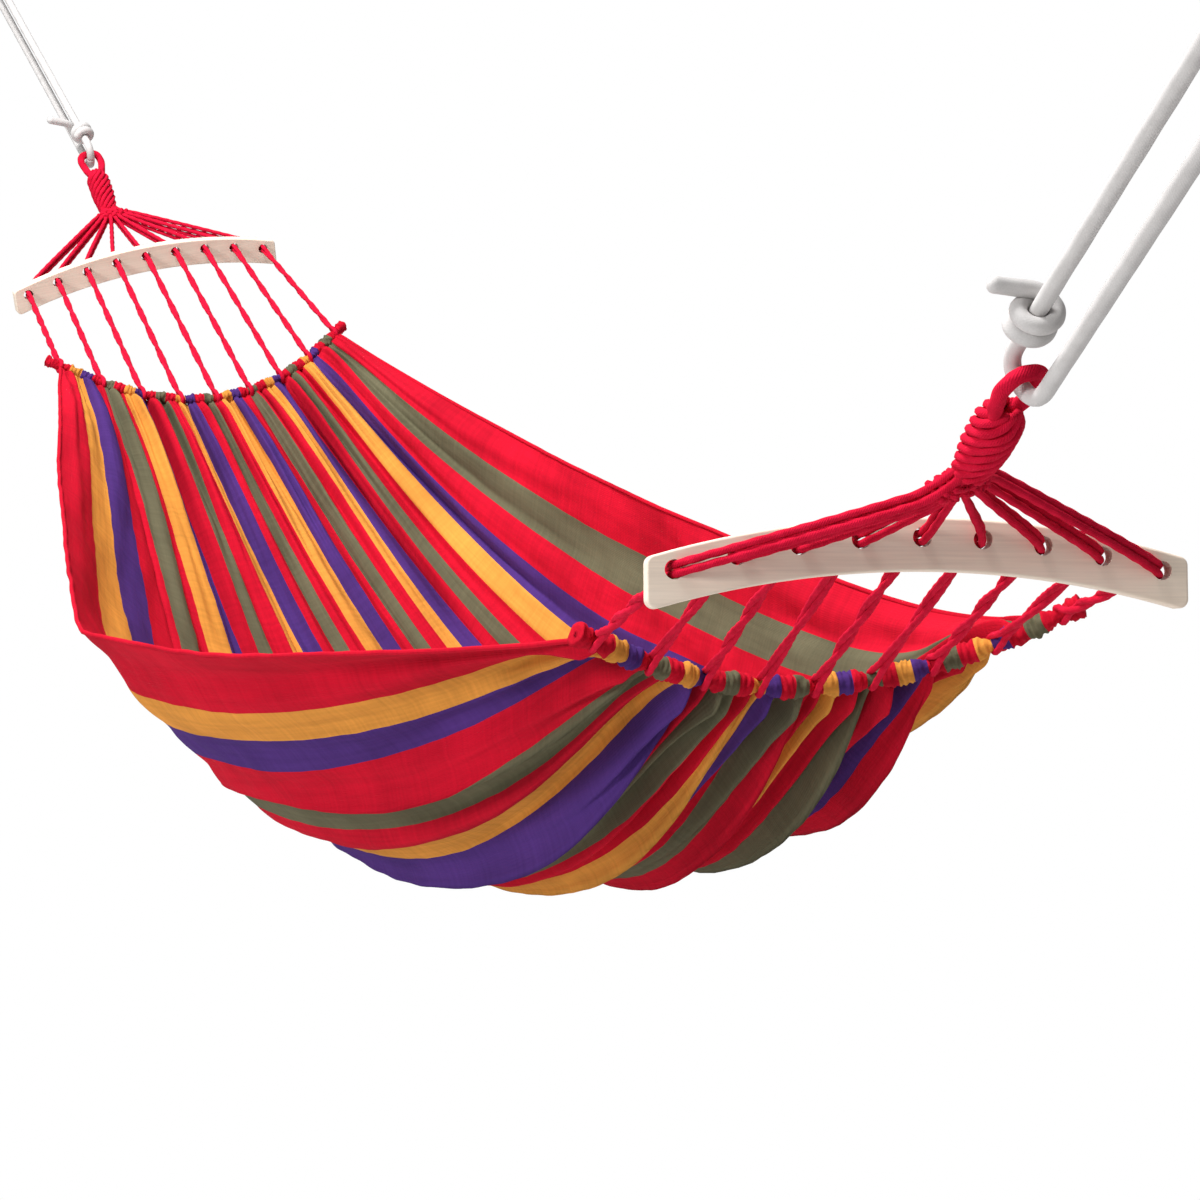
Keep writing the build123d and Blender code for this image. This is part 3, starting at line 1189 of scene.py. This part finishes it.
@dataclass(frozen=True)
class Gather:
    """Folds that run from a hem: how many, how deep and how far they reach."""

    count: float
    depth: float
    fade: float

    def at(self, u: float, v: float, near: float, seed: float) -> float:
        """The folds' height at a place on the cloth.

        Args:
            u: The place across.
            v: The place along.
            near: How near the hem is, along the cloth.
            seed: The end's own seed.

        Returns:
            The height.
        """
        drift = 0.7 * noise(Vector((u * 7.0, v * 2.2, self.count + seed)))
        strength = 0.75 + 0.8 * noise(Vector((u * self.count * 0.37, 3.1, self.count + seed)))
        turn = 2 * pi * (u * self.count + drift)
        fold = cos(turn) - 0.35 * cos(2 * turn)
        return self.depth * strength * exp(-near / self.fade) * fold


@dataclass(frozen=True)
class EndFolds:
    """How strong the lobes and gathers of one end are."""

    lobe: float
    gather: float
    seed: float


@dataclass(frozen=True)
class RimShape:
    """How a rim leaves the straight line: its curve, its spread and its sag."""

    power: float
    flare: float
    sag: float


@dataclass(frozen=True)
class Span:
    """A stretch of gathered hem; free_end is -1 or 1 where it ends the hem, or else 0."""

    number: int
    here: Vector
    there: Vector
    u0: float
    u1: float
    free_end: int

    @property
    def size(self) -> float:
        """The stretch's length."""
        return (self.there - self.here).length

    def radius_at(self, place: float, angle: float, swell: float) -> float:
        """The bunched cloth's radius.

        Args:
            place: The place along the stretch, from 0 to 1.
            angle: The angle round it, in radians.
            swell: How far the cloth bunches up between two cords.

        Returns:
            The radius.
        """
        run = place * self.size
        away = min(place, 1 - place) * self.size
        if self.free_end:
            away = (place if self.free_end > 0 else 1 - place) * self.size + 0.002
        draw = smooth(away / 0.018)
        x, y = cos(angle), sin(angle)
        wave = noise(Vector((run * 130 + self.number * 9.0, x, y + self.number * 3.0)))
        bend = 1.3 * noise(Vector((x * 0.8, y * 0.8 + self.number * 1.7, place * 5)))
        rib = cos(2 * pi * run / 0.0066 + 3.5 * bend)
        radius = 0.0060 + draw * swell + 0.0008 * rib * (0.5 + 0.5 * draw) + 0.0034 * wave * draw
        past_end = place > 0.999 if self.free_end > 0 else place < 0.001
        return radius * 0.75 if self.free_end and past_end else radius


GATHERS = (Gather(43.0, 0.0042, 0.07), Gather(25.0, 0.0080, 0.14), Gather(14.0, 0.0105, 0.30))
CREASES = (
    Ripple(0.0095, 20.0, 2.6, 5.5),
    Ripple(0.0050, 44.0, 6.0, 1.5, skew=8.0),
    Ripple(0.0016, 62.0, 58.0, 9.0),
)
STRIPE_DRIFTS = (Ripple(1.0, 13.0, 1.6, 21.0), Ripple(0.5, 29.0, 2.4, 3.0))
HEAD_FOLDS = EndFolds(lobe=0.9, gather=1.15, seed=0.0)
FOOT_FOLDS = EndFolds(lobe=1.75, gather=1.55, seed=37.0)
LEFT_RIM = RimShape(power=1.25, flare=-0.293, sag=0.123)
RIGHT_RIM = RimShape(power=2.7, flare=0.104, sag=0.138)


@dataclass
class Canvas:
    """The striped cloth between the two hems, with its gathers, lobes and creases."""

    head: End
    foot: End
    finishes: Finishes
    lobes: int = 8
    lobe_depth: float = 0.028
    lobe_reach: float = 0.10
    belly: float = 0.451
    belly_power: float = 2.24
    side_power: float = 3.2
    lean_to_foot: float = 0.2
    columns: int = 448
    rows: int = 190
    row_crowding: float = 0.035
    thickness: float = 0.0012
    cloth_gap: float = 0.0045
    rim_gap: float = 0.012
    rim_steps: int = 240
    uv_margin: float = 0.001
    drift: float = 0.026
    hem_around: int = 22
    hem_step: float = 0.0009
    hem_girth: float = 0.09
    hem_margin: float = 0.004
    head_swell: float = 0.0030
    foot_swell: float = 0.0058

    @property
    def length(self) -> float:
        """The straight distance between the middles of the hems."""
        return (self.foot.hem(0) - self.head.hem(0)).length

    def base(self, u: float, v: float) -> Vector:
        """The hanging shape before lobes; u from the left rim, v from the head."""
        across = 2 * u - 1
        edge = abs(across)
        shape = LEFT_RIM if across < 0 else RIGHT_RIM
        off_middle = abs(2 * (v - self.lean_to_foot * v * (1 - v)) - 1)
        belly = self.belly * (1 - off_middle**self.belly_power)
        rim = 1 - off_middle**shape.power
        side = edge**self.side_power
        chord = self.head.hem(across) * (1 - v) + self.foot.hem(across) * v
        return chord + Vector(
            (0, shape.flare * rim * edge, -shape.sag * rim * side - belly * (1 - side))
        )

    def normal(self, u: float, v: float) -> Vector:
        """Outward direction of the hanging shape."""
        step = 0.004
        low, high = max(u - step, 0.0), min(u + step, 1.0)
        along_u = self.base(high, v) - self.base(low, v)
        along_v = self.base(u, v + step) - self.base(u, v - step)
        return -along_u.cross(along_v).normalized()

    def relief(self, u: float, v: float) -> float:
        """How far the cloth stands out of the hanging shape.

        Args:
            u: The place across.
            v: The place along.

        Returns:
            The height of the lobes, gathers and creases together.
        """
        near = min(v, 1 - v)
        folds = FOOT_FOLDS if v > 0.5 else HEAD_FOLDS
        reach = near / self.lobe_reach
        place = u * self.lobes
        inside = place - int(min(place, self.lobes - 1e-9))
        arch = sqrt(max(0.0, 1 - (2 * inside - 1) ** 2))
        lobe = self.lobe_depth * folds.lobe * reach * exp(1 - reach) * arch
        gather = sum(size.at(u, v, near, folds.seed) for size in GATHERS)
        gather *= folds.gather * smooth((near + 0.004) / 0.02)
        rim_ease = smooth(min(u, 1 - u) / 0.02) * 0.75 + 0.25
        crease = sum(size.at(u, v) for size in CREASES) * smooth(near / 0.05)
        return (lobe + gather) * rim_ease + crease

    def surface(self, u: float, v: float, lift: float = 0.0) -> Vector:
        """A point on the cloth.

        Args:
            u: The place across.
            v: The place along.
            lift: How far out of the cloth the point is.

        Returns:
            The point.
        """
        clear = min(max(u, 0.001), 0.999)
        return self.base(u, v) + self.normal(clear, v) * (self.relief(u, v) + lift)

    def stripe_place(self, u: float, v: float) -> Range:
        """The UV coordinates of a place; the stripes drift most where the cloth is drawn up."""
        tuck = 0.35 + exp(-min(v, 1 - v) / 0.3)
        window = min(1.0, u / 0.03, (1 - u) / 0.03)
        drift = self.drift * sum(size.at(u, v) for size in STRIPE_DRIFTS) * window * tuck
        margin = self.uv_margin
        return u * (CLOTH_WIDTH - 2 * margin) + margin + drift, v * CLOTH_LENGTH

    def cloth(self) -> Object:
        """The bed of the hammock.

        Returns:
            The cloth's object.
        """
        mesh, keys = grid(self.columns, self.rows)
        lay_out(mesh, keys, self.stripe_place)
        start = self.cloth_gap / self.length
        for vertex, (u, v) in keys.items():
            place = start + (1 - 2 * start) * (v - self.row_crowding * sin(4 * pi * v))
            vertex.co = self.surface(u, place, -self.thickness / 2)
        bmesh.ops.recalc_face_normals(mesh, faces=mesh.faces)
        made = finish_piece("canvas", mesh, self.finishes.canvas, "bed")
        thick = made.modifiers.new("Cloth", "SOLIDIFY")
        thick.thickness = self.thickness
        thick.offset = 0.0
        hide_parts("canvas_bed")
        return made

    def rim(self, u: float, name: str) -> Object:
        """The rolled and sewn edge along one side.

        Args:
            u: The side's place across the cloth.
            name: The piece's name.

        Returns:
            The seam's object.
        """
        start = self.rim_gap / self.length
        places = [step / self.rim_steps for step in range(self.rim_steps + 1)]
        line = [self.surface(u, start + (1 - 2 * start) * place) for place in places]
        mesh = Tube(line, RIM_ROLL).build()
        layer = mesh.loops.layers.uv.verify()
        for face in mesh.faces:
            for loop in face.loops:
                across, along = loop[layer].uv
                loop[layer].uv = (0.01 + across * 0.5, along)
        return finish_piece(name, mesh, self.finishes.canvas, "bed")

    def hem_spans(self, end: End) -> list[Span]:
        """The stretches of a hem between its cords, with a short tail past each outer cord.

        Args:
            end: The hem's end.

        Returns:
            The stretches from left to right.
        """
        knots = [end.hem((index - HALF_COUNT) / HALF_COUNT) for index in range(HOLE_COUNT)]
        tail = HEM_NOTCH + HEM_END
        first = knots[0] + (knots[0] - knots[1]).normalized() * tail
        last = knots[-1] + (knots[-1] - knots[-2]).normalized() * tail
        stops = [first, *knots, last]
        shares = [0.0, *(index / self.lobes for index in range(HOLE_COUNT)), 1.0]
        free_ends = [-1, *[0] * self.lobes, 1]
        rows = zip(stops, stops[1:], shares, shares[1:], free_ends)
        return [Span(number, *row) for number, row in enumerate(rows)]

    def bunch(self, span: Span, swell: float) -> BMesh:
        """The cloth bunched up on one stretch of hem.

        Args:
            span: The stretch.
            swell: How far the cloth bunches up between two cords.

        Returns:
            The closed bunch, with its UV map.
        """
        around = self.hem_around
        mesh, places = grid(around, max(8, round(span.size / self.hem_step)))
        keys = {vertex: (round(turn * around), place) for vertex, (turn, place) in places.items()}

        def cloth_place(column: int, place: float) -> Range:
            """The UV coordinates of a place on the bunch."""
            u = span.u0 + (span.u1 - span.u0) * place
            across = self.hem_margin + u * (CLOTH_WIDTH - 2 * self.hem_margin)
            return across, self.hem_girth * column / around

        lay_out(mesh, keys, cloth_place)
        run = (span.there - span.here).normalized()
        side = square_to(Vector((0, 0, 1)), run)
        other = run.cross(side)
        for vertex, (column, place) in keys.items():
            angle = 2 * pi * (column % around) / around
            spoke = side * cos(angle) + other * sin(angle)
            spot = span.here.lerp(span.there, place)
            vertex.co = spot + spoke * span.radius_at(place, angle, swell)
        return closed(mesh)

    def hem(self, end: End) -> Object:
        """The gathered hem of one end, drawn up on its rope between the cords.

        Args:
            end: The hem's end.

        Returns:
            The hem's object.
        """
        swell = self.foot_swell if end.facing > 0 else self.head_swell
        whole = joined(self.bunch(span, swell) for span in self.hem_spans(end))
        made = finish_piece(
            f"{end.name}_gathered_hem", whole, self.finishes.canvas, "bed"
        )
        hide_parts(f"{end.name}_hem_sleeve")
        return made

    def build(self) -> None:
        """Build the cloth, its rims and its hems."""
        cloth = self.cloth()
        pieces = [
            self.rim(0.0, "left_rim"), self.rim(1.0, "right_rim"),
            self.hem(self.head), self.hem(self.foot),
        ]


# ---------------------------------------------------------------- studio


@dataclass(frozen=True)
class Lamp:
    """A square area lamp that points at a place."""

    name: str
    place: Place
    aim: Place
    size: float
    power: float

    def build(self) -> None:
        """Add the lamp to the scene."""
        data = bpy.data.lights.new(self.name, "AREA")
        data.shape = "SQUARE"
        data.size = self.size
        data.energy = self.power
        made = bpy.data.objects.new(self.name, data)
        turn = (Vector(self.aim) - Vector(self.place)).to_track_quat("-Z", "Y")
        made.matrix_world = Matrix.Translation(self.place) @ turn.to_matrix().to_4x4()
        bpy.context.scene.collection.objects.link(made)


LAMPS = (
    Lamp("key", (2.0, -0.5, 2.6), (1.9, 0.0, -0.9), 1.2, 195.0),
    Lamp("fill", (3.4, -3.8, 1.4), (2.2, 0.0, -0.9), 1.2, 105.0),
)


@dataclass
class Studio:
    """The floor, lights and camera around the hammock."""

    floor_z: float = -1.75
    floor_x: float = 1.8
    floor_half_size: float = 30.0
    world_strength: float = 0.30
    photo_size: int = 1200
    focal_pixels: float = 2252.03
    centre_pixels: Range = (592.47, 597.73)
    sensor: float = 36.0
    camera_at: Place = (4.7009, -1.0093, -0.2184)
    azimuth: float = 66.166
    elevation: float = 14.463
    roll: float = -9.263

    def camera(self) -> None:
        """Set the camera at the photograph's place."""
        a, e, r = radians(self.azimuth), radians(self.elevation), radians(self.roll)
        back = Vector((sin(a) * cos(e), -cos(a) * cos(e), sin(e)))
        level_right = Vector((cos(a), sin(a), 0.0))
        level_up = back.cross(level_right)
        right = level_right * cos(r) + level_up * sin(r)
        up = level_up * cos(r) - level_right * sin(r)
        middle = self.photo_size / 2
        data = bpy.data.cameras.new("Camera")
        data.lens = self.focal_pixels / self.photo_size * self.sensor
        data.sensor_width = self.sensor
        data.shift_x = (middle - self.centre_pixels[0]) / self.photo_size
        data.shift_y = (self.centre_pixels[1] - middle) / self.photo_size
        data.clip_end = 60.0
        made = bpy.data.objects.new("Camera", data)
        turn = Matrix((right, up, back)).transposed().to_4x4()
        made.matrix_world = Matrix.Translation(self.camera_at) @ turn
        bpy.context.scene.collection.objects.link(made)
        bpy.context.scene.camera = made

    def backdrop(self) -> None:
        """A pale floor that looks white to the camera."""
        mesh = bmesh.new()
        bmesh.ops.create_grid(mesh, x_segments=1, y_segments=1, size=self.floor_half_size)
        bmesh.ops.translate(mesh, verts=mesh.verts, vec=(self.floor_x, 0.0, self.floor_z))
        data = bpy.data.meshes.new("floor")
        mesh.to_mesh(data)
        mesh.free()
        material = bpy.data.materials.new("Pale floor")
        material.use_nodes = True
        nodes = material.node_tree.nodes
        w = Wiring(material.node_tree)
        shader = nodes["Principled BSDF"]
        shader.inputs["Base Color"].default_value = (0.75, 0.75, 0.75, 1.0)
        shader.inputs["Roughness"].default_value = 0.9
        glow = w.node("ShaderNodeEmission", in_Color=WHITE, in_Strength=1.0)
        seen = w.node("ShaderNodeLightPath").outputs["Is Camera Ray"]
        w.choose(seen, shader.outputs[0], glow.outputs[0], nodes["Material Output"])
        data.materials.append(material)
        made = bpy.data.objects.new("floor", data)
        bpy.context.scene.collection.objects.link(made)

    def world(self) -> None:
        """Soft grey light all round, white to the camera."""
        world = bpy.data.worlds.new("Studio")
        world.use_nodes = True
        bpy.context.scene.world = world
        nodes = world.node_tree.nodes
        w = Wiring(world.node_tree)
        base = nodes["Background"]
        base.inputs["Color"].default_value = WHITE
        base.inputs["Strength"].default_value = self.world_strength
        white = w.node("ShaderNodeBackground", in_Color=WHITE, in_Strength=1.0)
        rays = w.node("ShaderNodeLightPath").outputs
        seen = w.math("MAXIMUM", rays["Is Camera Ray"], rays["Is Glossy Ray"])
        w.choose(seen, base.outputs[0], white.outputs[0], nodes["World Output"])

    def build(self) -> None:
        """Build the whole studio."""
        self.camera()
        self.backdrop()
        self.world()
        for lamp in LAMPS:
            lamp.build()
        bpy.context.scene.view_settings.view_transform = "Standard"


def dress_carried_nodes(frame: dict, finishes: Finishes) -> None:
    """Give the model's own visible nodes their finishes.

    Args:
        finishes: The materials.
    """
    for name, node in frame["nodes"].items():
        if name.endswith("_spreader_bar"):
            material = finishes.woods[name.split("_")[0]]
        else:
            material = finishes.red_cord
        node.data.materials.clear()
        node.data.materials.append(material)


def main() -> None:
    """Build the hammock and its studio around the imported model."""
    logging.basicConfig(level=logging.INFO, format="%(name)s: %(message)s")
    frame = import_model()
    Studio().build()
    head, foot = make_ends()
    finishes = make_finishes((head, foot))
    for end in (head, foot):
        HangingRope(end, finishes).loop()
    for end in (head, foot):
        Clew(end, finishes).build()
    Canvas(head, foot, finishes).build()
    dress_carried_nodes(frame, finishes)


if __name__ == "__main__":
    main()
